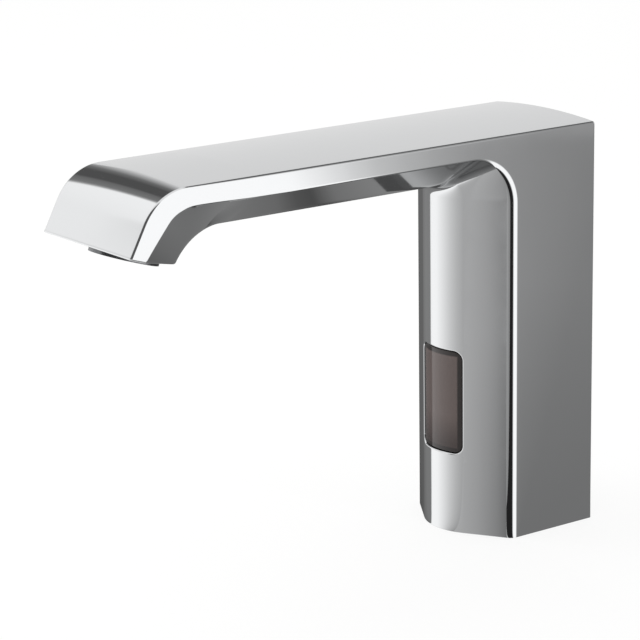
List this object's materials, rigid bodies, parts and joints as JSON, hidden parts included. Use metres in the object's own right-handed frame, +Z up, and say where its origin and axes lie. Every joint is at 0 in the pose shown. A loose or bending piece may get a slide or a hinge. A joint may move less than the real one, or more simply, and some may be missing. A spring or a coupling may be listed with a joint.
{
  "type": "sensor tap",
  "caption": "Chrome deck-mounted washbasin sensor tap: faceted column with a sensor window, straight spout, slanted nose with aerator, and a solenoid valve inside the column.",
  "frame": {"origin": "middle of the column's foot, on the underside of the base gasket, where the tap meets the basin", "axes": "+Z up along the column, -Y forward along the spout, +X to the right seen from the front"},
  "size_m": [0.05, 0.1823, 0.1391],
  "materials": {
    "chrome_casting": "polished",
    "aerator_chrome": "polished",
    "black_rubber": "matte",
    "diaphragm_rubber": "matte",
    "plain_brass": "machined",
    "stainless_steel": "machined",
    "zinc_steel": "zinc plated",
    "copper_winding": "enamelled wire",
    "white_plastic": "moulded",
    "black_plastic": "moulded",
    "smoked_lens": "polished, smoked",
    "circuit_board": "solder mask",
    "clear_diode": "clear epoxy",
    "dark_diode": "dark epoxy",
    "red_diode": "tinted epoxy"
  },
  "bodies": {
    "tap": {"body_casting": "chrome_casting", "base_gasket": "black_rubber", "base_plate": "plain_brass", "base_screws": "stainless_steel", "cable_grommet": "black_rubber", "inlet_socket": "plain_brass", "inlet_o_ring": "black_rubber", "filter_screen": "stainless_steel", "check_valve_cage": "white_plastic", "check_valve_guide": "white_plastic", "check_valve_spring": "stainless_steel", "valve_body": "white_plastic", "valve_bonnet": "white_plastic", "bonnet_screws": "stainless_steel", "guide_tube": "stainless_steel", "core_stop": "stainless_steel", "plunger_spring": "stainless_steel", "coil_bobbin": "black_plastic", "coil_winding": "copper_winding", "coil_yoke": "zinc_steel", "coil_nut": "stainless_steel", "outlet_elbow": "black_plastic", "riser_nipple": "plain_brass", "riser_washer": "black_rubber", "riser_hose": "black_rubber", "hose_clips": "stainless_steel", "sensor_lens": "smoked_lens", "lens_gasket": "black_rubber", "sensor_housing": "black_plastic", "sensor_board": "circuit_board", "ir_emitter": "clear_diode", "ir_receiver": "dark_diode", "status_led": "red_diode", "sensor_cover": "black_plastic", "cover_screws": "stainless_steel", "sensor_bracket": "stainless_steel", "bracket_screws": "stainless_steel", "sensor_lead": "black_rubber", "coil_lead": "black_rubber", "aerator_housing": "aerator_chrome", "aerator_straightener": "white_plastic", "aerator_screen": "stainless_steel", "aerator_diffuser": "white_plastic", "aerator_washer": "black_rubber"},
    "plunger": {"plunger": "stainless_steel", "plunger_seal": "black_rubber"},
    "diaphragm": {"diaphragm": "diaphragm_rubber", "diaphragm_insert": "white_plastic"},
    "check_valve": {"check_valve_poppet": "white_plastic"}
  },
  "joints": [
    {"name": "plunger_slide", "type": "slide", "parent": "tap", "child": "plunger", "axis": [0, 0, 1], "range_m": [0, 0.0018], "stiffness_N_per_m": 150, "springref_m": -0.003, "deforming": ["plunger_spring"]},
    {"name": "diaphragm_lift", "type": "slide", "parent": "tap", "child": "diaphragm", "axis": [0, 0, 1], "range_m": [0, 0.0015]},
    {"name": "poppet_slide", "type": "slide", "parent": "tap", "child": "check_valve", "axis": [0, 0, 1], "range_m": [0, 0.002], "stiffness_N_per_m": 60, "springref_m": -0.002, "deforming": ["check_valve_spring"]}
  ]
}
